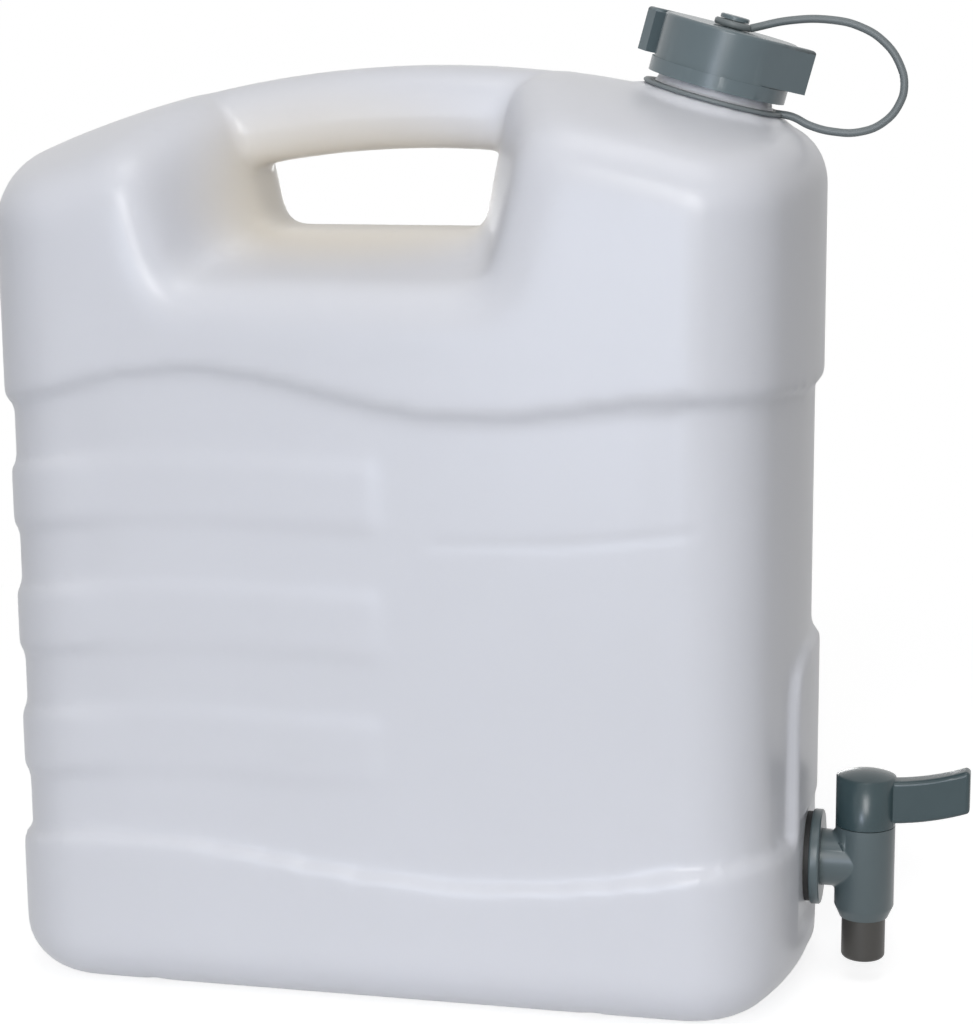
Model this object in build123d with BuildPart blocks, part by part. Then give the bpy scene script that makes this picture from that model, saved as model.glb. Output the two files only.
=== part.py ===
from build123d import *
from math import asin, cos, degrees, radians, sin, sqrt
import os

# A ten-litre water canister of blown polyethylene, with a lugged screw cap on a strap and a lever tap.
# X runs across the wide front, with the tap at +X. The front face looks along -Y. Z is up.
# The origin is the centre of the base. All lengths are in millimetres and all angles in degrees.

# Blown body
body_width = 300.0
body_depth = 145.0
body_height = 335.0
wall = 2.0
corner_radius = 34.0
side_radius = 150.0
arch_radius = 375.0
arch_peak_x = 10.0
crown_radius = 150.0
rim_round = 22.0
foot_round = 20.0

# Waist between the shoulder band and the base band, with pads round its left side
waist_depth = 3.2
pad_inset = 1.3
pad_height = 21.0
pad_end_x = 2.0
pad_levels = (177.5, 131.5, 85.5)
shoulder_level = 222.0
base_level = 54.0

# Wavy moulding lines in the front view: share of the half width from the middle, height over the level
shoulder_wave = ((-1.02, -9), (-0.73, 3), (-0.37, 9), (0.07, -3.5), (0.33, -5), (0.75, 3), (1.02, 1))
base_wave = ((-1.02, -7), (-0.79, 3.5), (-0.57, 6.5), (-0.23, 2), (0.08, -3), (0.4, -2.5), (0.76, 4.5), (1.02, 6))
pad_wave = ((-1.02, -11), (-0.75, -1.5), (-0.4, 1.5))

# Hand opening through the shoulder, its flared notch, and the grip over it
opening_left = -53.0
opening_right = 30.0
opening_floor = 276.0
opening_lean = 0.2
flare_left = 24.0
flare_right = 17.0
flare_drop = 22.0
flare_lean = 0.3
notch_corner = 10.0
notch_round = 16.0
saddle_round = 60.0
grip_height = 29.5
grip_width = 38.0
grip_round = 13.0
grip_sink = 0.5
grip_hold = 34.0
dimple_x = -3.7
dimple_level = 324.7
dimple_radius = 2.0

# Grooves across the underside
groove_places = (-86.0, 78.0)
groove_radius = 9.0
groove_depth = 2.3

# Filler neck, square to the arch
neck_x = 109.5
neck_radius = 20.6
neck_wall = 2.2
neck_height = 21.8
neck_seat_radius = 27.0
neck_seat_rise = 0.4
neck_seat_depth = 6.0

# Screw cap and its sealing disc
cap_clearance = 1.3
cap_wall = 2.1
cap_roof = 2.3
cap_foot = 5.2
cap_edge_round = 1.2
cap_foot_rise = 0.7
cap_foot_height = 5.0
lug_reach = 31.3
lug_angle = 46.0
lug_thickness = 5.0
lug_height = 15.5
liner_thickness = 1.6
liner_gap = 0.3
seat_gap = 0.15
knob_radius = 3.5
knob_head_radius = 5.2
knob_height = 4.4
knob_head_height = 1.5
knob_round = 0.6

# Strap that keeps the cap: its way out and its way back, as places in the front view from the neck's foot
strap_thickness = 3.0
strap_gap = 0.3
strap_hold = 0.75
strap_ring_width = 3.2
strap_ring_height = 2.6
strap_eye_width = 3.0
strap_eye_height = 2.4
strap_low = ((28.1, -5.5), (34.7, -8.7), (42.5, -10.7), (52.0, -10.8), (60.2, -7.4), (65.5, -0.9))
strap_high = ((66.9, 5.3), (65.2, 12.3), (59.9, 19.8), (51.2, 25.3), (40.9, 27.7), (27.0, 27.6))

# Tap seat on the right side
tap_height = 45.5
nest_rise = 1.3
nest_radius = 28.0
nest_foot_radius = 34.0
seat_radius = 19.5
seat_depth = 2.7
collar_radius = 21.5
collar_length = 8.0
boss_height = 128.0
boss_width = 64.0
boss_corner = 18.0

# Tap housing and its gasket
thread_radius = 13.0
thread_gap = 0.15
thread_length = 13.0
gasket_radius = 16.5
gasket_thickness = 2.0
flange_radius = 17.5
flange_thickness = 3.7
flange_round = 0.8
stub_radius = 10.4
tap_bore = 5.0
barrel_x = 168.5
barrel_radius = 10.9
barrel_foot = 28.5
barrel_top = 59.0
barrel_nose_radius = 8.9
barrel_nose_foot = 24.0
barrel_ledge = 1.4
barrel_blend = 1.5
pip_radius = 1.8
pip_height = 0.7
pip_angle = 223.0
pip_level = 52.0

# Tap plug with its lever, and the spout
plug_radius = 7.5
plug_gap = 0.05
plug_foot = 33.2
head_gap = 0.3
head_top = 77.4
head_dome = 2.2
lever_end_x = 206.0
lever_width = 8.0
lever_low = (60.6, 61.6, 66.3)
lever_high = (76.6, 77.6, 82.6)
lever_round = 1.6
spout_radius = 8.0
spigot_radius = 7.6
spout_bore = 6.2
spout_foot = 8.0
spout_gap = 0.02
spout_round = 1.6

neck_tilt = degrees(asin((neck_x - arch_peak_x) / arch_radius))
neck_foot_z = body_height - arch_radius * (1 - cos(radians(neck_tilt)))
neck = Plane(
    origin=(neck_x, 0, neck_foot_z),
    x_dir=(cos(radians(neck_tilt)), 0, -sin(radians(neck_tilt))),
    z_dir=(sin(radians(neck_tilt)), 0, cos(radians(neck_tilt))),
)
arch = Plane(origin=(arch_peak_x, 0, body_height - arch_radius), x_dir=(0, 1, 0), z_dir=(1, 0, 0))


def wavy_line(level, wave):
    """Points of a moulding line in the front view, from its wave over a level."""
    return [(share * body_width / 2, level + rise) for share, rise in wave]


def body_plan(inset, level):
    """The body's plan on a level plane: flat front and back, bulged narrow sides and round corners."""
    side_centre = body_width / 2 - side_radius
    corner_y = body_depth / 2 - corner_radius
    reach = side_radius - corner_radius
    corner_x = side_centre + sqrt(reach**2 - corner_y**2)
    turn = degrees(asin(corner_y / reach))
    with BuildSketch(Plane.XY.offset(level)) as outline:
        with BuildLine():
            CenterArc((side_centre, 0), side_radius - inset, 0, turn)
            corner = CenterArc((corner_x, corner_y), corner_radius - inset, turn, 90 - turn)
            Line(corner @ 1, (0, body_depth / 2 - inset))
            mirror(about=Plane.XZ)
            mirror(about=Plane.YZ)
        make_face()
    return outline.sketch


def full_form(inset):
    """The body without waist or notch: its plan run up to an arched and crowned top, with round rims."""
    reach = body_depth / 2 + corner_radius
    crown = crown_radius - inset
    top = arch_radius - inset
    shoulder = top - crown + sqrt(crown**2 - reach**2)
    with BuildPart() as wheel:
        with BuildSketch(arch):
            with BuildLine():
                Polyline((-reach, -shoulder), (-reach, 0), (reach, 0), (reach, -shoulder))
                ThreePointArc((reach, -shoulder), (0, -top), (-reach, -shoulder))
            make_face()
        revolve(axis=Axis(arch.origin, (0, 1, 0)), revolution_arc=360)
    with BuildPart() as form:
        extrude(body_plan(inset, inset), amount=body_height)
        add(wheel.part, mode=Mode.INTERSECT)
        fillet(form.faces().sort_by(Axis.Z)[-1].edges(), rim_round - inset)
        fillet(form.faces().sort_by(Axis.Z)[0].edges(), foot_round - inset)
    return form.part


def wavy_band(low, high):
    """A band of the front view between two wavy lines, run right through the depth."""
    with BuildPart() as band:
        with BuildSketch(Plane.XZ):
            with BuildLine():
                foot = Spline(*low)
                head = Spline(*high)
                Line(foot @ 0, head @ 0)
                Line(foot @ 1, head @ 1)
            make_face()
        extrude(amount=body_depth, both=True)
    return band.part


def pad_band(inset, level):
    """The band of one pad: it comes round the left side and ends on the front."""
    low = [*wavy_line(level + inset, pad_wave), (pad_end_x - inset, level + inset)]
    return wavy_band(low, [(x, z + pad_height - 2 * inset) for x, z in low])


def tap_boss(inset):
    """The part of the right side that keeps its full width round the tap."""
    height = boss_height - inset
    with BuildPart() as boss:
        with BuildSketch(Plane.YZ.offset(body_width / 4)):
            with Locations((0, height / 2)):
                RectangleRounded(boss_width - 2 * inset, height, boss_corner - inset)
        extrude(amount=body_width / 2)
    return boss.part


def waist_ring(inset, depth, kept):
    """What the waist takes off the full form: a ring of one depth, without the pieces that are kept."""
    with BuildPart() as ring:
        add(wavy_band(wavy_line(base_level - inset, base_wave), wavy_line(shoulder_level + inset, shoulder_wave)))
        extrude(body_plan(inset + depth, 0), amount=body_height, mode=Mode.SUBTRACT)
        for piece in kept:
            add(piece, mode=Mode.SUBTRACT)
    return ring.part


def notch_section(y, left, right, floor, lean, corner):
    """The notch's outline on one upright plane. It is open at the top, and its sides lean apart."""
    top = body_height + grip_height
    rise = lean * (top - floor)
    with BuildSketch(Plane.XZ.offset(-y)) as section:
        with BuildLine():
            Polyline((left - rise, top), (left, floor), (right, floor), (right + rise, top), close=True)
        make_face()
        fillet(section.vertices().group_by(Axis.Z)[0], corner)
    return section.sketch


def throat(y, inset):
    """The narrow part of the notch, as wide as the hand opening."""
    return notch_section(
        y, opening_left - inset, opening_right + inset, opening_floor - inset, opening_lean, notch_corner + inset
    )


def flare(y, inset):
    """The wide mouth of the notch, just past the front or the back of the body."""
    left = opening_left - flare_left - inset
    right = opening_right + flare_right + inset
    return notch_section(y, left, right, opening_floor - flare_drop - inset, flare_lean, notch_corner + inset)


def lies_on(shape, edge):
    """Whether an edge lies on a shape, tried at two of its points."""
    return all(shape.distance_to(edge @ place) < 0.01 for place in (0.25, 0.5))


def grip_bar(inset):
    """The grip: a rounded bar bent along the arch, long enough to end inside both shoulders."""
    with BuildPart() as bar:
        with BuildSketch(arch):
            with Locations((0, -(arch_radius - grip_sink - grip_height / 2))):
                RectangleRounded(grip_width - 2 * inset, grip_height - 2 * inset, grip_round - inset)
        revolve(axis=Axis(arch.origin, (0, 1, 0)), revolution_arc=360)
        with BuildSketch(Plane.XZ):
            with Locations(((opening_left + opening_right) / 2, body_height)):
                Rectangle(opening_right - opening_left + 2 * grip_hold, body_height)
        extrude(amount=body_depth, both=True, mode=Mode.INTERSECT)
    return bar.part


def tank_form(inset):
    """The body's whole form, drawn in by inset: 0 gives its outside, and the wall gives its inside."""
    form = full_form(inset)
    skin = form.shell()
    seams = Compound(form.edges())
    throat_half = grip_width / 2 - inset
    boss = tap_boss(inset)
    pads = [pad_band(inset, level) for level in pad_levels]
    bar = grip_bar(inset)
    rings = (waist_ring(inset, pad_inset, [boss]), waist_ring(inset, waist_depth, [boss, *pads]))
    mouth_y = body_depth / 2 + notch_round
    throats = {side: throat(side * throat_half, inset) for side in (-1, 1)}
    flares = {side: flare(side * mouth_y, inset) for side in (-1, 1)}
    middle = throat(0, inset)
    with BuildPart() as tank:
        add(form)
        extrude(middle, amount=throat_half, both=True, mode=Mode.SUBTRACT)
        for side in (-1, 1):
            loft([throats[side], flares[side]], mode=Mode.SUBTRACT)
        saddle = [
            edge for edge in tank.edges()
            if abs(abs((edge @ 0.3).Y) - throat_half) < 0.1 and abs(abs((edge @ 0.8).Y) - throat_half) < 0.1
            and not lies_on(skin, edge)
        ]
        fillet(saddle, saddle_round - inset)
        mouth = [edge for edge in tank.edges() if lies_on(skin, edge) and not lies_on(seams, edge)]
        fillet(mouth, notch_round - inset)
        for ring in rings:
            add(ring, mode=Mode.SUBTRACT)
        add(bar)
        for place in groove_places:
            with Locations((place, 0, groove_depth - groove_radius)):
                Cylinder(groove_radius + inset, body_depth, rotation=(90, 0, 0), mode=Mode.SUBTRACT)
    return tank.part


# Places along the neck's axis, from its foot on the shoulder
liner_low = neck_height + seat_gap
cap_ceiling = liner_low + liner_thickness + seat_gap
cap_top = cap_ceiling + cap_roof
cap_bore = neck_radius + cap_clearance
cap_radius = cap_bore + cap_wall
lug_run = sqrt(lug_reach**2 - cap_radius**2)
ring_low = neck_seat_rise + strap_gap
ring_bore = neck_radius + strap_gap
eye_low = cap_top + strap_gap
eye_bore = knob_radius + strap_gap
neck_axis = Axis(neck.origin, neck.z_dir)

# Places along the axis of the tap's stub, from the middle of the body
seat_x = body_width / 2 - seat_depth
flange_x = seat_x + gasket_thickness
stub_x = flange_x + flange_thickness
nest_x = body_width / 2 + nest_rise
pip_direction = (cos(radians(pip_angle)), sin(radians(pip_angle)), 0)
lever_places = (barrel_x, (barrel_x + lever_end_x) / 2, lever_end_x)


def along_stub(x):
    """Plane square to the tap's stub, centred on it."""
    return Plane(origin=(x, 0, tap_height), x_dir=(0, 1, 0), z_dir=(1, 0, 0))


def along_barrel(z):
    """Level plane centred on the tap's barrel."""
    return Plane(origin=(barrel_x, 0, z))


os.makedirs("parts", exist_ok=True)
outside = tank_form(0)
inside = tank_form(wall)

# The neck on its round seat
with BuildPart() as filler:
    with BuildSketch(neck.offset(-neck_seat_depth)):
        Circle(neck_seat_radius)
    extrude(amount=neck_seat_depth + neck_seat_rise)
    with BuildSketch(neck):
        Circle(neck_radius)
    extrude(amount=neck_height)

with BuildPart() as opening:
    with BuildSketch(neck.offset(-neck_seat_depth)):
        Circle(neck_radius - neck_wall)
    extrude(amount=neck_seat_depth + 2 * neck_height)

with BuildPart() as container:
    add((outside + filler.part).fix())
    # The nest that stands proud round the tap
    with Locations(along_stub(seat_x)):
        Cone(nest_foot_radius, nest_radius, nest_x - seat_x, align=(Align.CENTER, Align.CENTER, Align.MIN))
    add((inside + opening.part).fix(), mode=Mode.SUBTRACT)
    # The collar inside the wall, with the tap's thread hole and its seat
    with BuildSketch(along_stub(seat_x)):
        Circle(collar_radius)
    extrude(amount=-collar_length)
    with BuildSketch(along_stub(seat_x)):
        Circle(seat_radius)
    extrude(amount=nest_radius, mode=Mode.SUBTRACT)
    with BuildSketch(along_stub(seat_x)):
        Circle(thread_radius + thread_gap)
    extrude(amount=nest_radius, both=True, mode=Mode.SUBTRACT)
    # The dimple on the front of the grip
    with Locations((dimple_x, -grip_width / 2, dimple_level)):
        Sphere(dimple_radius, mode=Mode.SUBTRACT)
container.part.label = "container"
export_step(container.part, "parts/container.step")


with BuildPart() as screw_cap:
    with BuildSketch(neck.offset(cap_foot)):
        Circle(cap_radius)
    extrude(amount=cap_top - cap_foot)
    # Two lugs for the fingers, each standing off at a tangent
    with BuildSketch(neck.offset(cap_top - lug_height)):
        with Locations(Rotation(0, 0, -lug_angle), Rotation(0, 0, 180 - lug_angle)):
            with Locations((cap_radius - lug_thickness / 2, lug_run / 2)):
                Rectangle(lug_thickness, lug_run)
    extrude(amount=lug_height)
    fillet(screw_cap.edges().group_by(neck_axis)[-1], cap_edge_round)
    with BuildSketch(neck.offset(cap_foot)):
        Circle(cap_radius + cap_foot_rise)
    extrude(amount=cap_foot_height)
    # Bore up to the roof
    with BuildSketch(neck.offset(cap_foot)):
        Circle(cap_bore)
    extrude(amount=cap_ceiling - cap_foot, mode=Mode.SUBTRACT)
    # Knob that holds the strap's eye
    with BuildSketch(neck.offset(cap_top)):
        Circle(knob_radius)
    extrude(amount=knob_height)
    with BuildSketch(neck.offset(cap_top + knob_height - knob_head_height)):
        Circle(knob_head_radius)
    extrude(amount=knob_head_height)
    fillet(screw_cap.edges().group_by(neck_axis)[-1], knob_round)
screw_cap.part.label = "screw_cap"
export_step(screw_cap.part, "parts/screw_cap.step")


with BuildPart() as cap_liner:
    with BuildSketch(neck.offset(liner_low)):
        Circle(cap_bore - liner_gap)
    extrude(amount=liner_thickness)
cap_liner.part.label = "cap_liner"
export_step(cap_liner.part, "parts/cap_liner.step")


with BuildPart() as cap_strap:
    start = neck.from_local_coords((ring_bore + strap_ring_width / 2, 0, ring_low + strap_thickness / 2))
    end = neck.from_local_coords((knob_head_radius + strap_gap + strap_hold, 0, eye_low + strap_thickness / 2))
    with BuildLine() as route:
        Spline(start, *[(neck_x + x, 0, neck_foot_z + z) for x, z in (*strap_low, *strap_high)], end)
    with BuildSketch(Plane(origin=start, z_dir=route.line % 0)):
        Circle(strap_thickness / 2)
    sweep(path=route.line)
    with BuildSketch(neck.offset(ring_low)):
        Circle(ring_bore + strap_ring_width)
    extrude(amount=strap_ring_height)
    with BuildSketch(neck.offset(ring_low)):
        Circle(ring_bore)
    extrude(amount=cap_foot, mode=Mode.SUBTRACT)
    with BuildSketch(neck.offset(eye_low)):
        Circle(eye_bore + strap_eye_width)
    extrude(amount=strap_eye_height)
    with BuildSketch(neck.offset(eye_low)):
        Circle(eye_bore)
    extrude(amount=knob_height, both=True, mode=Mode.SUBTRACT)
cap_strap.part.label = "cap_strap"
export_step(cap_strap.part, "parts/cap_strap.step")


with BuildPart() as tap_gasket:
    with BuildSketch(along_stub(seat_x)):
        Circle(gasket_radius)
        Circle(thread_radius + thread_gap, mode=Mode.SUBTRACT)
    extrude(amount=gasket_thickness)
tap_gasket.part.label = "tap_gasket"
export_step(tap_gasket.part, "parts/tap_gasket.step")


with BuildPart() as tap_housing:
    with BuildSketch(along_stub(stub_x)):
        Circle(stub_radius)
    extrude(amount=barrel_x - stub_x)
    with BuildSketch(along_barrel(barrel_foot)):
        Circle(barrel_radius)
    extrude(amount=barrel_top - barrel_foot)
    joint = [edge for edge in tap_housing.edges() if edge.geom_type not in (GeomType.CIRCLE, GeomType.LINE)]
    fillet(joint, barrel_blend)
    with BuildSketch(along_stub(flange_x)):
        Circle(flange_radius)
    extrude(amount=flange_thickness)
    fillet(tap_housing.edges().filter_by(GeomType.CIRCLE).sort_by(SortBy.RADIUS)[-2:], flange_round)
    with BuildSketch(along_stub(flange_x)):
        Circle(thread_radius)
    extrude(amount=-thread_length - gasket_thickness)
    with Locations(along_barrel(barrel_nose_foot)):
        Cone(
            barrel_nose_radius, barrel_radius, barrel_foot - barrel_nose_foot,
            align=(Align.CENTER, Align.CENTER, Align.MIN)
        )
    with BuildSketch(Plane(origin=(barrel_x, 0, pip_level), z_dir=pip_direction)):
        Circle(pip_radius)
    extrude(amount=barrel_radius + pip_height)
    # The waterway: along the stub, and down the barrel past a ledge to the spout's socket
    with BuildSketch(along_stub(barrel_x)):
        Circle(tap_bore)
    extrude(amount=-barrel_x / 2, mode=Mode.SUBTRACT)
    with BuildSketch(along_barrel(barrel_top)):
        Circle(plug_radius)
    extrude(amount=plug_foot - seat_gap - barrel_top, mode=Mode.SUBTRACT)
    with BuildSketch(along_barrel(barrel_nose_foot)):
        Circle(spout_bore)
    extrude(amount=barrel_top - barrel_nose_foot, mode=Mode.SUBTRACT)
    with BuildSketch(along_barrel(barrel_nose_foot)):
        Circle(spigot_radius + spout_gap)
    extrude(amount=plug_foot - barrel_ledge - barrel_nose_foot, mode=Mode.SUBTRACT)
tap_housing.part.label = "tap_housing"
export_step(tap_housing.part, "parts/tap_housing.step")


with BuildPart() as tap_plug:
    with BuildSketch(Plane(origin=(barrel_x, 0, 0), x_dir=(1, 0, 0), z_dir=(0, -1, 0))):
        with BuildLine():
            edge_points = [
                (0, head_top + head_dome),
                (0, plug_foot),
                (plug_radius - plug_gap, plug_foot),
                (plug_radius - plug_gap, barrel_top + head_gap),
                (barrel_radius, barrel_top + head_gap),
                (barrel_radius, head_top),
            ]
            Polyline(*edge_points)
            TangentArc(edge_points[0], edge_points[-1], tangent=(1, 0))
        make_face()
    revolve(axis=Axis((barrel_x, 0, 0), (0, 0, 1)))
    # Lever, swept up a little towards its end
    with BuildSketch(Plane.XZ):
        with BuildLine():
            low = ThreePointArc(*zip(lever_places, lever_low))
            high = ThreePointArc(*zip(lever_places, lever_high))
            Line(low @ 0, high @ 0)
            Line(low @ 1, high @ 1)
        make_face()
    extrude(amount=lever_width / 2, both=True)
    lever_edges = [edge for edge in tap_plug.edges() if edge.center().X > barrel_x + barrel_radius + 1]
    fillet(lever_edges, lever_round)
    # The waterway: in at the side and down to the spout
    with BuildSketch(along_barrel(plug_foot)):
        Circle(tap_bore)
    extrude(amount=tap_height + tap_bore - plug_foot, mode=Mode.SUBTRACT)
    with BuildSketch(along_stub(barrel_x)):
        Circle(tap_bore)
    extrude(amount=-2 * plug_radius, mode=Mode.SUBTRACT)
tap_plug.part.label = "tap_plug"
export_step(tap_plug.part, "parts/tap_plug.step")


with BuildPart() as tap_spout:
    with BuildSketch(along_barrel(spout_foot)):
        Circle(spout_radius)
    extrude(amount=barrel_nose_foot - seat_gap - spout_foot)
    fillet(tap_spout.edges().sort_by(Axis.Z)[0], spout_round)
    with BuildSketch(along_barrel(barrel_nose_foot - seat_gap)):
        Circle(spigot_radius)
    extrude(amount=plug_foot - barrel_ledge - barrel_nose_foot)
    with BuildSketch(along_barrel(spout_foot)):
        Circle(spout_bore)
    extrude(amount=barrel_top - spout_foot, mode=Mode.SUBTRACT)
tap_spout.part.label = "tap_spout"
export_step(tap_spout.part, "parts/tap_spout.step")
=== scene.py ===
# %% [markdown]
# # A blow-moulded water canister with a screw cap and a lever tap
# The canister is milky polyethylene, and its cap, strap and tap are slate-grey plastics. Its measured
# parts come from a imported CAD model, which sets every place and size. This lesson gives them their
# surfaces: a skin with soft moulded edges, finishes, a camera and a small studio.

# %% Load the measured parts
import math

import bmesh
import bpy
import numpy as np
from mathutils import Matrix, Vector


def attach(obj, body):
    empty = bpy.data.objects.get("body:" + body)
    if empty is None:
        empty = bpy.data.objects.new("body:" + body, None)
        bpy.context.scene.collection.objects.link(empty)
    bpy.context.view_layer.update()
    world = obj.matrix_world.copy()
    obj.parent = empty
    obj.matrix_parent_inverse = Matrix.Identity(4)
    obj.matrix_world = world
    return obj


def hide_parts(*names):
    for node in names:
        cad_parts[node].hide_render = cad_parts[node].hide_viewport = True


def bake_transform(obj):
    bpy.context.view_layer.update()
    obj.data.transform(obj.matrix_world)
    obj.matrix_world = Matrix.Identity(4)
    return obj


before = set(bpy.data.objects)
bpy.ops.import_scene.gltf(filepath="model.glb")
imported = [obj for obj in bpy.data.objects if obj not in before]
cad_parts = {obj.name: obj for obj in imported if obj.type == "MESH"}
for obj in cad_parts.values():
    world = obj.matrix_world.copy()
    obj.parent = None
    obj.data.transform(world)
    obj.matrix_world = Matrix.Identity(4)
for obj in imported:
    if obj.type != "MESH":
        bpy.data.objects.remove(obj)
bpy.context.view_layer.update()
MM = 0.001
print("parts:", sorted(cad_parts))

# %% [markdown]
# A few places of the measured body are needed in more than one step: the foot of the neck, the way
# the neck leans, and the level of the tap. They are written once, in millimetres.

# %% Places on the canister
NECK_FOOT = Vector((109.5, 0, 321.559))
NECK_WAY = Vector((0.2653333, 0, 0.9641565))
TAP_LEVEL = 45.5

# %% [markdown]
# The camera stands where the photographer's did. Its place was worked out once from the canister's
# outline: 13 degrees to the right of the front, 11 degrees above it, with a long lens.

# %% Camera
CAMERA_YAW = math.radians(13.04)
CAMERA_PITCH = math.radians(10.98)
CAMERA_ROLL = math.radians(-0.48)
CAMERA_TARGET = Vector((26.5, 0, 170.8)) * MM
CAMERA_DISTANCE = 929.3 * MM
FOCAL_PIXELS = 2500
IMAGE_HEIGHT = 1024
SENSOR_WIDTH = 36

back = Vector((
    math.sin(CAMERA_YAW) * math.cos(CAMERA_PITCH),
    -math.cos(CAMERA_YAW) * math.cos(CAMERA_PITCH),
    math.sin(CAMERA_PITCH),
))
level_right = Vector((math.cos(CAMERA_YAW), math.sin(CAMERA_YAW), 0))
level_up = back.cross(level_right)
right = math.cos(CAMERA_ROLL) * level_right + math.sin(CAMERA_ROLL) * level_up
up = math.cos(CAMERA_ROLL) * level_up - math.sin(CAMERA_ROLL) * level_right
turned = Matrix((right, up, back)).transposed().to_4x4()

camera = bpy.data.objects.new("camera", bpy.data.cameras.new("camera"))
bpy.context.collection.objects.link(camera)
camera.data.sensor_width = SENSOR_WIDTH
camera.data.lens = FOCAL_PIXELS / IMAGE_HEIGHT * SENSOR_WIDTH
camera.matrix_world = Matrix.Translation(CAMERA_TARGET + back * CAMERA_DISTANCE) @ turned
bpy.context.scene.camera = camera
bpy.context.scene.view_settings.view_transform = "Standard"

# %% [markdown]
# Two helpers serve every material below. Colours are picked as people see them, in sRGB, while Blender
# calculates in linear light, so one helper translates. The other adds a node together with its values
# and links, which keeps a material's recipe to a line for each node.

# %% Helpers for colours and nodes
def linear(hex_colour):
    """A colour written as sRGB hex, such as "d9dce4", as linear RGBA."""
    channels = [int(hex_colour[i : i + 2], 16) / 255 for i in (0, 2, 4)]
    return (*[c / 12.92 if c <= 0.04045 else ((c + 0.055) / 1.055) ** 2.4 for c in channels], 1)


def add_node(owner, kind, links=(), **values):
    """Adds a node to a material or world, sets its properties or inputs, and links sockets to it."""
    tree = owner.node_tree
    node = tree.nodes.new(kind)
    for name, value in values.items():
        if name in node.bl_rna.properties:
            setattr(node, name, value)
    for name, value in values.items():
        if name not in node.bl_rna.properties:
            node.inputs[name.replace("_", " ")].default_value = value
    for name, source in links:
        tree.links.new(source, node.inputs[name])
    return node


def seen_directly(owner):
    """1 for what the camera sees straight, in a gloss or through glass, and 0 for light on its way."""
    ray = add_node(owner, "ShaderNodeLightPath")
    glossy = add_node(owner, "ShaderNodeMath", operation="MAXIMUM", links=[
        (0, ray.outputs["Is Camera Ray"]), (1, ray.outputs["Is Glossy Ray"])])
    return add_node(owner, "ShaderNodeMath", operation="MAXIMUM", links=[
        (0, glossy.outputs[0]), (1, ray.outputs["Is Transmission Ray"])]).outputs[0]


# %% [markdown]
# The photographer's room does two jobs. What the camera sees of it is a white backdrop. What it gives
# as light is weak, and weaker from the left and right than from the front and back, so the narrow
# sides of the canister turn greyer than its wide face. One world can do both, because a Light Path
# node tells a camera's ray from light on its way.

# %% World
FILL_LEVEL = 0.4
SIDE_FILL_LEVEL = 0.12
SIDE_FILL_START = 0.1
SIDE_FILL_FULL = 0.95

world = bpy.data.worlds.new("studio")
bpy.context.scene.world = world
world.use_nodes = True
world.node_tree.nodes.clear()
direction = add_node(world, "ShaderNodeTexCoord")
across = add_node(world, "ShaderNodeSeparateXYZ", [("Vector", direction.outputs["Generated"])])
off_middle = add_node(world, "ShaderNodeMath", [(0, across.outputs["X"])], operation="ABSOLUTE")
fill = add_node(world, "ShaderNodeMapRange", [("Value", off_middle.outputs[0])],
                interpolation_type="SMOOTHSTEP", From_Min=SIDE_FILL_START, From_Max=SIDE_FILL_FULL,
                To_Min=FILL_LEVEL, To_Max=SIDE_FILL_LEVEL)
level = add_node(world, "ShaderNodeMapRange", [
    ("Value", seen_directly(world)), ("To Min", fill.outputs[0])], To_Max=1.0)
backdrop = add_node(world, "ShaderNodeBackground", [("Strength", level.outputs[0])],
                    Color=(1, 1, 1, 1))
add_node(world, "ShaderNodeOutputWorld", [("Surface", backdrop.outputs[0])])

# %% [markdown]
# The floor is white paper. Near the canister it shows the soft shadow, lifted a little so that the lit
# paper is as white as the backdrop, and farther out it fades into that backdrop. A plain plane would
# need a lamp just for that; here the paper glows, and only for what the camera sees.

# %% Floor
PAPER_SIZE = 8
PAPER_LEVEL = -0.0002
PAPER_LIFT = 0.75
FADE_START = 0.25
FADE_END = 0.7

bpy.ops.mesh.primitive_plane_add(size=PAPER_SIZE, location=(0, 0, PAPER_LEVEL))
floor = bpy.context.object
floor.name = "floor"
paper = bpy.data.materials.new("matte white paper sweep")
paper.use_nodes = True
paper.node_tree.nodes.clear()
lit = add_node(paper, "ShaderNodeBsdfDiffuse", Color=linear("c4c4c4"))
direct = seen_directly(paper)
lift = add_node(paper, "ShaderNodeMath", [(0, direct)], operation="MULTIPLY")
lift.inputs[1].default_value = PAPER_LIFT
glow = add_node(paper, "ShaderNodeEmission", [("Strength", lift.outputs[0])], Color=(1, 1, 1, 1))
near = add_node(paper, "ShaderNodeAddShader", [(0, lit.outputs[0]), (1, glow.outputs[0])])
far = add_node(paper, "ShaderNodeEmission", [("Strength", direct)], Color=(1, 1, 1, 1))
place = add_node(paper, "ShaderNodeTexCoord")
reach = add_node(paper, "ShaderNodeVectorMath", [(0, place.outputs["Object"])], operation="LENGTH")
fade = add_node(paper, "ShaderNodeMapRange", [("Value", reach.outputs["Value"])],
                interpolation_type="SMOOTHSTEP", From_Min=FADE_START, From_Max=FADE_END)
mixed = add_node(paper, "ShaderNodeMixShader", [
    (0, fade.outputs[0]), (1, near.outputs[0]), (2, far.outputs[0])])
add_node(paper, "ShaderNodeOutputMaterial", [("Surface", mixed.outputs[0])])
floor.data.materials.append(paper)


# %% [markdown]
# The lamps are broad panels, because a pale canister shows every hard edge of a small lamp. The key
# stands in front, a little to the right and above the camera, and lights the wide face evenly. A low
# cool strip gives that face its bluish white, a top panel lifts the grip and the cap, and a weak one
# behind lights the back and reaches into the hand opening.

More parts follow.
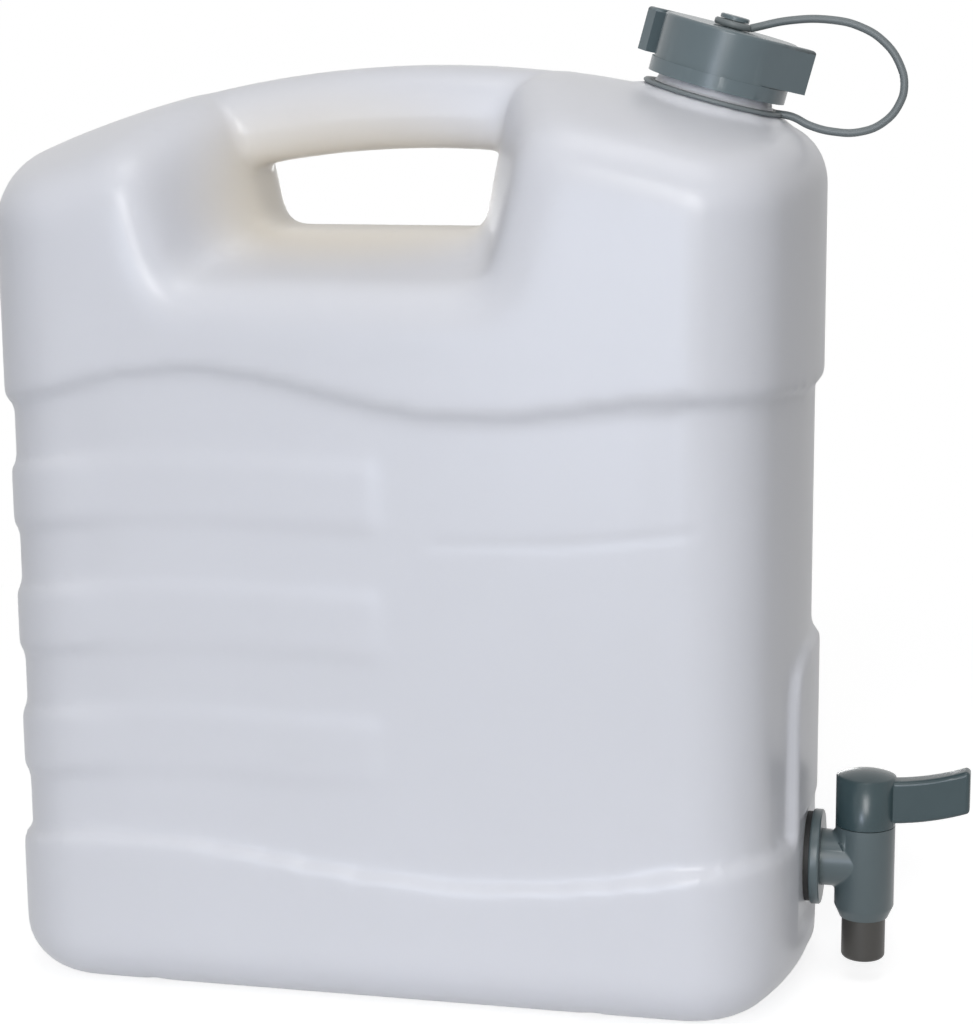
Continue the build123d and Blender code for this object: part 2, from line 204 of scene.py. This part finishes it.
# %% Lamps
def panel_light(name, place, aim, width, height, power, colour=(1, 1, 1)):
    """A lamp panel at a place in metres, turned to aim at a point."""
    lamp = bpy.data.objects.new(name, bpy.data.lights.new(name, "AREA"))
    lamp.data.shape = "RECTANGLE"
    lamp.data.size = width
    lamp.data.size_y = height
    lamp.data.energy = power
    lamp.data.color = colour
    lamp.location = place
    lamp.rotation_euler = (Vector(aim) - Vector(place)).to_track_quat("-Z", "Y").to_euler()
    bpy.context.collection.objects.link(lamp)


COOL_WHITE = (0.74, 0.83, 1.0)
panel_light("front key panel", (0.3, -1.75, 0.75), (0, 0, 0.17), 0.6, 0.8, 13.8)
panel_light("low front strip", (-0.14, -1.7, 0.1), (0.08, 0, 0.2), 0.3, 0.2, 4.2, COOL_WHITE)
panel_light("top panel", (0.15, -0.4, 1.3), (0, 0, 0.25), 0.6, 0.6, 2.5)
panel_light("weak back panel", (-0.5, 1.8, 0.1), (0, 0, 0.17), 0.9, 0.25, 4.0)

# %% [markdown]
# Moulded plastic is never one flat colour: the pigment drifts a little, and the mould's wall leaves a
# fine grain. Both come from noise through the object's own space, so they need no unwrapping and keep
# their size in millimetres on every part.

# %% Parts of a finish
GRAIN_DEPTH = 0.1 * MM
COLOUR_A, COLOUR_B, MIXED_COLOUR = 6, 7, 2


def new_finish(name):
    """An empty node material and the shader that feeds its output."""
    finish = bpy.data.materials.new(name)
    finish.use_nodes = True
    return finish, finish.node_tree.nodes["Principled BSDF"]


def noise(finish, feature_mm, detail):
    """Noise through the object's space, with features of this size in millimetres."""
    place = add_node(finish, "ShaderNodeTexCoord")
    return add_node(finish, "ShaderNodeTexNoise", [("Vector", place.outputs["Object"])],
                    Scale=1 / (feature_mm * MM), Detail=detail).outputs["Fac"]


def drifting_colour(finish, colour, light_colour, drift_mm, detail):
    """A colour that drifts towards a lighter one and back."""
    blend = add_node(finish, "ShaderNodeMix", [("Factor", noise(finish, drift_mm, detail))],
                     data_type="RGBA")
    blend.inputs[COLOUR_A].default_value = linear(colour)
    blend.inputs[COLOUR_B].default_value = linear(light_colour)
    return blend.outputs[MIXED_COLOUR]


def mould_grain(finish, grain_mm, strength):
    """The shader normal of a fine grain left by the mould's wall."""
    return add_node(finish, "ShaderNodeBump", [("Height", noise(finish, grain_mm, 2))],
                    Strength=strength, Distance=GRAIN_DEPTH).outputs[0]


def set_shader(finish, shader, colour, normal, **values):
    """Links a finish's colour and normal to its shader and sets the shader's other inputs."""
    finish.node_tree.links.new(colour, shader.inputs["Base Color"])
    finish.node_tree.links.new(normal, shader.inputs["Normal"])
    for name, value in values.items():
        shader.inputs[name.replace("_", " ")].default_value = value


# %% [markdown]
# The cap, the strap and the tap are opaque: polypropylene, an elastomer and rubber. One recipe with
# another colour and roughness does for each of them, as one moulding shop would make them all.

# %% Finish of the grey parts
def satin_plastic(name, colour, light_colour, roughness):
    """Moulded plastic: nearly one colour, with a fine spark-eroded grain from its mould."""
    finish, shader = new_finish(name)
    set_shader(
        finish,
        shader,
        drifting_colour(finish, colour, light_colour, drift_mm=18, detail=3),
        mould_grain(finish, grain_mm=1.4, strength=0.12),
        Roughness=roughness,
        IOR=1.49,
    )
    return finish


# %% [markdown]
# Natural polyethylene is milky: light goes some millimetres into it before it comes out, so its shader
# scatters light under the surface. Round the hand opening light reaches the eye through several walls
# and turns warmer. Path tracing that through thin walls is slow and noisy, so the warmth is painted,
# with a tint that fades out from the opening.

# %% Finish of the canister
WARM_MIDDLE = Vector((-22, 0, 288)) * MM
WARM_REACH = Vector((85, 62, 42)) * MM
WARM_FULL = 0.45
WARM_END = 1.15
WARM_SHARE = 0.85


def warmed_round_opening(finish, colour):
    """A colour that turns warmer near the middle of the hand opening."""
    place = add_node(finish, "ShaderNodeTexCoord")
    offset = add_node(finish, "ShaderNodeVectorMath", [(0, place.outputs["Object"])],
                      operation="SUBTRACT")
    offset.inputs[1].default_value = WARM_MIDDLE
    in_reaches = add_node(finish, "ShaderNodeVectorMath", [(0, offset.outputs[0])],
                          operation="DIVIDE")
    in_reaches.inputs[1].default_value = WARM_REACH
    share_out = add_node(finish, "ShaderNodeVectorMath", [(0, in_reaches.outputs[0])],
                         operation="LENGTH")
    warmth = add_node(finish, "ShaderNodeMapRange", [("Value", share_out.outputs["Value"])],
                      interpolation_type="SMOOTHSTEP", From_Min=WARM_FULL, From_Max=WARM_END,
                      To_Min=WARM_SHARE, To_Max=0.0)
    warmed = add_node(finish, "ShaderNodeMix", [
        ("Factor", warmth.outputs[0]), (COLOUR_A, colour)], data_type="RGBA")
    warmed.inputs[COLOUR_B].default_value = linear("ece5d8")
    return warmed.outputs[MIXED_COLOUR]


polyethylene, milky_shader = new_finish("natural blow-moulded polyethylene")
set_shader(
    polyethylene,
    milky_shader,
    warmed_round_opening(
        polyethylene, drifting_colour(polyethylene, "dfe0e5", "e5e6ec", drift_mm=90, detail=2)
    ),
    mould_grain(polyethylene, grain_mm=2.2, strength=0.08),
    Roughness=0.34,
    IOR=1.52,
    Subsurface_Weight=0.35,
    Subsurface_Radius=(1.0, 1.0, 1.0),
    Subsurface_Scale=6 * MM,
)

# %% [markdown]
# Each part gets its own shade. The cap is the lightest slate, the tap's housing is bluer, its lever is
# a dark teal, and the spout is a warm grey, which tells that it was moulded apart.

# %% Finishes of the parts
finishes = {
    "container": polyethylene,
    "screw_cap": satin_plastic("slate polypropylene cap", "5f6d72", "687579", 0.27),
    "cap_liner": satin_plastic("white foam liner", "dcdcd6", "e4e4de", 0.7),
    "cap_strap": satin_plastic("grey elastomer strap", "70777a", "787f80", 0.45),
    "tap_gasket": satin_plastic("black rubber gasket", "1c1c1c", "242424", 0.6),
    "tap_housing": satin_plastic("blue-grey polypropylene tap", "525e61", "596669", 0.33),
    "tap_plug": satin_plastic("dark teal-grey polypropylene lever", "34464a", "3c4e52", 0.27),
    "tap_spout": satin_plastic("warm grey polypropylene spout", "3d3b38", "464440", 0.42),
}
for node_name, finish in finishes.items():
    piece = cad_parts[node_name]
    piece.data.materials.clear()
    piece.data.materials.append(finish)

# %% [markdown]
# The canister's skin is one soft form: the edges of a blown body are rounded by the wall itself. A
# bevel on the measured solid would fail where so many curved faces meet. So a copy of the body is
# closed at its two bores and rebuilt in small even faces. A voxel remesh takes what is shut in as
# solid, so only the outer skin is left, and smoothing rounds its edges as blowing does.

# %% Skin of the canister
WELD_DISTANCE = 0.005 * MM
# Just past the walls of the bores, in millimetres from the neck's axis and foot, and from the tap's
BORE_RADIUS = 18.9
BORE_FOOT = -7
TAP_HOLE_RADIUS = 13.5
TAP_HOLE_START = 100
SKIN_FACE = 2.1 * MM
SKIN_ROUNDS = 4


def in_a_bore(middle):
    """Whether a face's middle, in metres, is in the neck's bore or in the hole for the tap."""
    middle = middle / MM
    from_neck = middle - NECK_FOOT
    rise = from_neck.dot(NECK_WAY)
    from_axis = (from_neck - NECK_WAY * rise).length
    from_tap = math.hypot(middle.y, middle.z - TAP_LEVEL)
    in_neck = from_axis < BORE_RADIUS and rise > BORE_FOOT
    return in_neck or (from_tap < TAP_HOLE_RADIUS and middle.x > TAP_HOLE_START)


def keep_modified(thing):
    """Puts what an object's modifiers make of its mesh in that mesh's place."""
    made = bpy.data.meshes.new_from_object(
        thing.evaluated_get(bpy.context.evaluated_depsgraph_get())
    )
    thing.modifiers.clear()
    thing.data = made
    made.name = thing.name


def smooth(thing, rounds):
    """Adds a modifier that smooths a mesh a number of rounds."""
    soften = thing.modifiers.new("blown softness", "SMOOTH")
    soften.factor = 0.5
    soften.iterations = rounds
    return soften


def outer_skin(source, name):
    """The outer skin of a hollow body, as a closed mesh of even faces with soft edges."""
    skin = bpy.data.objects.new(name, source.data.copy())
    bpy.context.collection.objects.link(skin)
    form = bmesh.new()
    form.from_mesh(skin.data)
    bmesh.ops.remove_doubles(form, verts=form.verts, dist=WELD_DISTANCE)
    bore_walls = [face for face in form.faces if in_a_bore(face.calc_center_median())]
    bmesh.ops.delete(form, geom=bore_walls, context="FACES")
    bmesh.ops.holes_fill(form, edges=[e for e in form.edges if e.is_boundary], sides=0)
    form.to_mesh(skin.data)
    form.free()
    remesh = skin.modifiers.new("even faces", "REMESH")
    remesh.mode = "VOXEL"
    remesh.voxel_size = SKIN_FACE
    remesh.use_smooth_shade = True
    smooth(skin, SKIN_ROUNDS)
    keep_modified(skin)
    print(name, "faces", len(skin.data.polygons))
    return skin


canister_skin = outer_skin(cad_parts["container"], "canister_skin")

# %% [markdown]
# Blowing thins out what the mould draws far. On the wide faces the waist and its pads are shallower
# than round the narrow sides, a faint line of the mould crosses the front on the right, and the tap
# sits on a flat that runs out into the corner. Sculpting would do, but can't be repeated. So each of
# these is a smooth shift of the skin's points, with a weight that fades out where the shift ends.

# %% Soft relief of the skin
def ease(values, start, stop):
    """0 before start, 1 after stop, and a smooth rise between. It runs down if start is larger."""
    share = np.clip((values - start) / (stop - start), 0, 1)
    return share * share * (3 - 2 * share)


def band(values, low_start, low_stop, high_start, high_stop):
    """1 between low_stop and high_start, and a smooth fall to 0 on both sides."""
    return ease(values, low_start, low_stop) * ease(values, high_stop, high_start)


def read_points(mesh):
    """A mesh's points in millimetres."""
    flat = np.empty(len(mesh.vertices) * 3)
    mesh.vertices.foreach_get("co", flat)
    return flat.reshape(-1, 3) / MM


def write_points(mesh, points):
    """Puts points in millimetres back into a mesh."""
    mesh.vertices.foreach_set("co", (points * MM).ravel())
    mesh.update()


def line_distance(points, route):
    """Distance in the front view from points to a line of (x, z) places."""
    flat = points[:, (0, 2)]
    nearest = np.full(len(flat), np.inf)
    for first, last in zip(route, route[1:]):
        first, last = np.array(first), np.array(last)
        along = last - first
        share = np.clip((flat - first) @ along / (along @ along), 0, 1)
        nearest = np.minimum(nearest, np.linalg.norm(flat - first - share[:, None] * along, axis=1))
    return nearest


# How far out a point of a wide face lies in the measured body, and where it goes
FACE_LEVELS = (0.0, 66.0, 69.3, 71.2, 72.5)
SOFT_LEVELS = (0.0, 66.0, 70.3, 70.8, 72.5)
WIDE_FACE_HEIGHTS = (34, 42, 234, 244)
WIDE_FACE_SIDES = (112, 88)
FRONT_LINE = ((24, 172.6), (69, 174), (114, 179.5))
FRONT_LINE_DEPTH = 0.22
FRONT_LINE_REACH = (2.6, 0.2)
FRONT_START = -60
TAP_FLAT = 147.3
TAP_FLAT_HALF_HEIGHT = (23.5, 20.5)
TAP_FLAT_HALF_WIDTH = (36, 30)
# Round the tap the narrow side is an arc of this radius about the canister's middle
SIDE_RADIUS = 150.0
SIDE_HALF_WIDTH = 60
TAP_NEST_HEIGHTS = (2, 8, 88, 96)
TAP_NEST_HALF_WIDTH = (42, 36)

skin_points = read_points(canister_skin.data)
x, y, z = skin_points.T
wide_face = ease(np.abs(x), *WIDE_FACE_SIDES) * band(z, *WIDE_FACE_HEIGHTS)
softened = np.sign(y) * np.interp(np.abs(y), FACE_LEVELS, SOFT_LEVELS)
y += wide_face * (softened - y)
line_share = ease(line_distance(skin_points, FRONT_LINE), *FRONT_LINE_REACH)
y += FRONT_LINE_DEPTH * line_share * (y < FRONT_START)
near_tap = band(z, *TAP_NEST_HEIGHTS) * ease(np.abs(y), *TAP_NEST_HALF_WIDTH)
side_arc = np.sqrt(SIDE_RADIUS**2 - np.clip(y, -SIDE_HALF_WIDTH, SIDE_HALF_WIDTH) ** 2)
x -= near_tap * np.clip(x - side_arc, 0, None)
tap_flat = ease(np.abs(z - TAP_LEVEL), *TAP_FLAT_HALF_HEIGHT) * ease(np.abs(y), *TAP_FLAT_HALF_WIDTH)
x -= tap_flat * np.clip(x - TAP_FLAT, 0, None)
write_points(canister_skin.data, skin_points)
print("points shifted on the wide faces:", int((wide_face > 0.5).sum()))

# %% [markdown]
# The mouth of the hand opening has no crisp edge, because the plastic is stretched round it from both
# sides. More rounds of smoothing do that, held to the mouth by a group of points with soft weights, so
# that the rest of the skin keeps its lines.

# %% Soft mouth of the hand opening
MOUTH_HEIGHTS = (236, 258, 322, 336)
MOUTH_SIDES = (-122, -104, 60, 78)
MOUTH_DEPTH = (22, 34)
MOUTH_ROUNDS = 42
LEAST_WEIGHT = 0.01

mouth_weight = band(z, *MOUTH_HEIGHTS) * band(x, *MOUTH_SIDES) * ease(np.abs(y), *MOUTH_DEPTH)
mouth = canister_skin.vertex_groups.new(name="mouth of the hand opening")
for point in np.nonzero(mouth_weight > LEAST_WEIGHT)[0]:
    mouth.add([int(point)], float(mouth_weight[point]), "REPLACE")
smooth(canister_skin, MOUTH_ROUNDS).vertex_group = mouth.name
keep_modified(canister_skin)
canister_skin.vertex_groups.clear()
print("points smoothed in the mouth:", int((mouth_weight > 0.5).sum()))

canister_skin.data.materials.clear()
canister_skin.data.materials.append(polyethylene)
for polygon in canister_skin.data.polygons:
    polygon.use_smooth = True
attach(canister_skin, "canister")
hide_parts("container")

# %% [markdown]
# The hard parts were moulded in steel and keep their crisp edges, so they keep their measured meshes.
# Their triangles are only joined where they meet, which closes each part.

# %% Welding of the measured parts
for node_name in ("screw_cap", "cap_liner", "tap_gasket", "tap_housing", "tap_plug", "tap_spout"):
    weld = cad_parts[node_name].modifiers.new("weld", "WELD")
    weld.merge_threshold = WELD_DISTANCE

# %% [markdown]
# The strap is one elastomer moulding: a thin ring round the neck's foot, a round cord, and an eye
# round the cap's knob. Ring and eye are round about the neck's axis, so an outline is turned about it,
# as on a lathe.

# %% Ring and eye of the strap
RING_HEIGHTS = (0.7, 2.2)
RING_RADII = (20.9, 25.4)
EYE_HEIGHTS = (26.3, 28.6)
EYE_RADII = (3.8, 6.8)
RING_EDGE_ROUND = 0.5
RING_STEPS = 96


def on_neck(out, height):
    """A point beside the neck's axis, towards the tap's side, at a height over the neck's foot."""
    sideways = Vector((NECK_WAY.z, 0, -NECK_WAY.x))
    return NECK_FOOT + NECK_WAY * height + sideways * out


def turned_ring(form, radii, heights):
    """Adds a ring with rounded edges, turned about the neck's axis, to a bmesh."""
    inner, outer = radii
    low, high = heights
    edge = RING_EDGE_ROUND
    outline = [
        (inner + edge, low), (outer - edge, low), (outer, low + edge), (outer, high - edge),
        (outer - edge, high), (inner + edge, high), (inner, high - edge), (inner, low + edge),
    ]
    rows = []
    for step in range(RING_STEPS):
        turn = Matrix.Rotation(math.tau * step / RING_STEPS, 3, NECK_WAY)
        places = [NECK_FOOT + turn @ (on_neck(*corner) - NECK_FOOT) for corner in outline]
        rows.append([form.verts.new(place * MM) for place in places])
    for row, next_row in zip(rows, rows[1:] + rows[:1]):
        for corner in range(len(outline)):
            following = (corner + 1) % len(outline)
            form.faces.new((row[corner], row[following], next_row[following], next_row[corner]))


# %% [markdown]
# The cord follows a path through the air, which is what Geometry Nodes are good at: a curve is sampled
# evenly and a circle is run along it. A straight tube bent by hand would flatten in its bends. The
# tree is built here with named inputs, so another radius or finish is one value away.

# %% Geometry Nodes for the cord
CORD_STEPS = 160
CORD_SIDES = 20


def cord_tree():
    """Geometry Nodes that run a circle along the object's curve and give it a material."""
    tree = bpy.data.node_groups.new("cord along a curve", "GeometryNodeTree")
    for name, in_out, kind in (
        ("Curve", "INPUT", "NodeSocketGeometry"),
        ("Cord radius", "INPUT", "NodeSocketFloat"),
        ("Finish", "INPUT", "NodeSocketMaterial"),
        ("Cord", "OUTPUT", "NodeSocketGeometry"),
    ):
        tree.interface.new_socket(name, in_out=in_out, socket_type=kind)
    entry = tree.nodes.new("NodeGroupInput")
    samples = tree.nodes.new("GeometryNodeResampleCurve")
    samples.inputs["Count"].default_value = CORD_STEPS
    circle = tree.nodes.new("GeometryNodeCurvePrimitiveCircle")
    circle.inputs["Resolution"].default_value = CORD_SIDES
    tube = tree.nodes.new("GeometryNodeCurveToMesh")
    tube.inputs["Fill Caps"].default_value = True
    real = tree.nodes.new("GeometryNodeRealizeInstances")
    painted = tree.nodes.new("GeometryNodeSetMaterial")
    leave = tree.nodes.new("NodeGroupOutput")
    for source, target in (
        (entry.outputs["Curve"], samples.inputs["Curve"]),
        (samples.outputs["Curve"], tube.inputs["Curve"]),
        (entry.outputs["Cord radius"], circle.inputs["Radius"]),
        (circle.outputs["Curve"], tube.inputs["Profile Curve"]),
        (tube.outputs["Mesh"], real.inputs["Geometry"]),
        (real.outputs["Geometry"], painted.inputs["Geometry"]),
        (entry.outputs["Finish"], painted.inputs["Material"]),
        (painted.outputs["Geometry"], leave.inputs["Cord"]),
    ):
        tree.links.new(source, target)
    return tree


# %% [markdown]
# The cord's bends were measured in the photograph and are given from the neck's foot, to the right and
# up. It leaves the ring, hangs out over the shoulder, and comes back over the cap to the eye. Its ring
# stays on the neck and its eye rises with the cap.

# %% Strap
CORD_RADIUS = 1.4
CORD_START = on_neck(22.8, 1.6)
CORD_END = on_neck(6.2, 27.6)
CORD_PLACES = (
    (28.1, -5.5), (34.7, -8.7), (42.5, -10.7), (52.0, -10.8), (60.2, -7.4), (65.5, -0.9),
    (66.9, 5.3), (65.2, 12.3), (59.9, 19.8), (51.2, 25.3), (40.9, 27.7), (27.0, 27.6),
)

bends = [NECK_FOOT + Vector((across, 0, rise)) for across, rise in CORD_PLACES]
route = [CORD_START, *bends, CORD_END]
curve = bpy.data.curves.new("strap route", "CURVE")
curve.dimensions = "3D"
spline = curve.splines.new("BEZIER")
spline.bezier_points.add(len(route) - 1)
for knot, point in zip(spline.bezier_points, route):
    knot.co = point * MM
    knot.handle_left_type = "AUTO"
    knot.handle_right_type = "AUTO"
cord_maker = bpy.data.objects.new("strap route", curve)
bpy.context.collection.objects.link(cord_maker)
modifier = cord_maker.modifiers.new("cord", "NODES")
modifier.node_group = cord_tree()
sockets = {
    item.name: item.identifier
    for item in modifier.node_group.interface.items_tree
    if item.in_out == "INPUT"
}
modifier[sockets["Cord radius"]] = CORD_RADIUS * MM
modifier[sockets["Finish"]] = finishes["cap_strap"]
strap_mesh = bpy.data.meshes.new_from_object(
    cord_maker.evaluated_get(bpy.context.evaluated_depsgraph_get())
)
bpy.data.objects.remove(cord_maker)

form = bmesh.new()
form.from_mesh(strap_mesh)
turned_ring(form, RING_RADII, RING_HEIGHTS)
turned_ring(form, EYE_RADII, EYE_HEIGHTS)
bmesh.ops.recalc_face_normals(form, faces=form.faces)
for face in form.faces:
    face.smooth = True
form.to_mesh(strap_mesh)
form.free()
strap_mesh.materials.clear()
strap_mesh.materials.append(finishes["cap_strap"])
strap = bpy.data.objects.new("strap", strap_mesh)
bpy.context.collection.objects.link(strap)
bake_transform(strap)
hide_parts("cap_strap")
print("strap faces", len(strap_mesh.polygons))
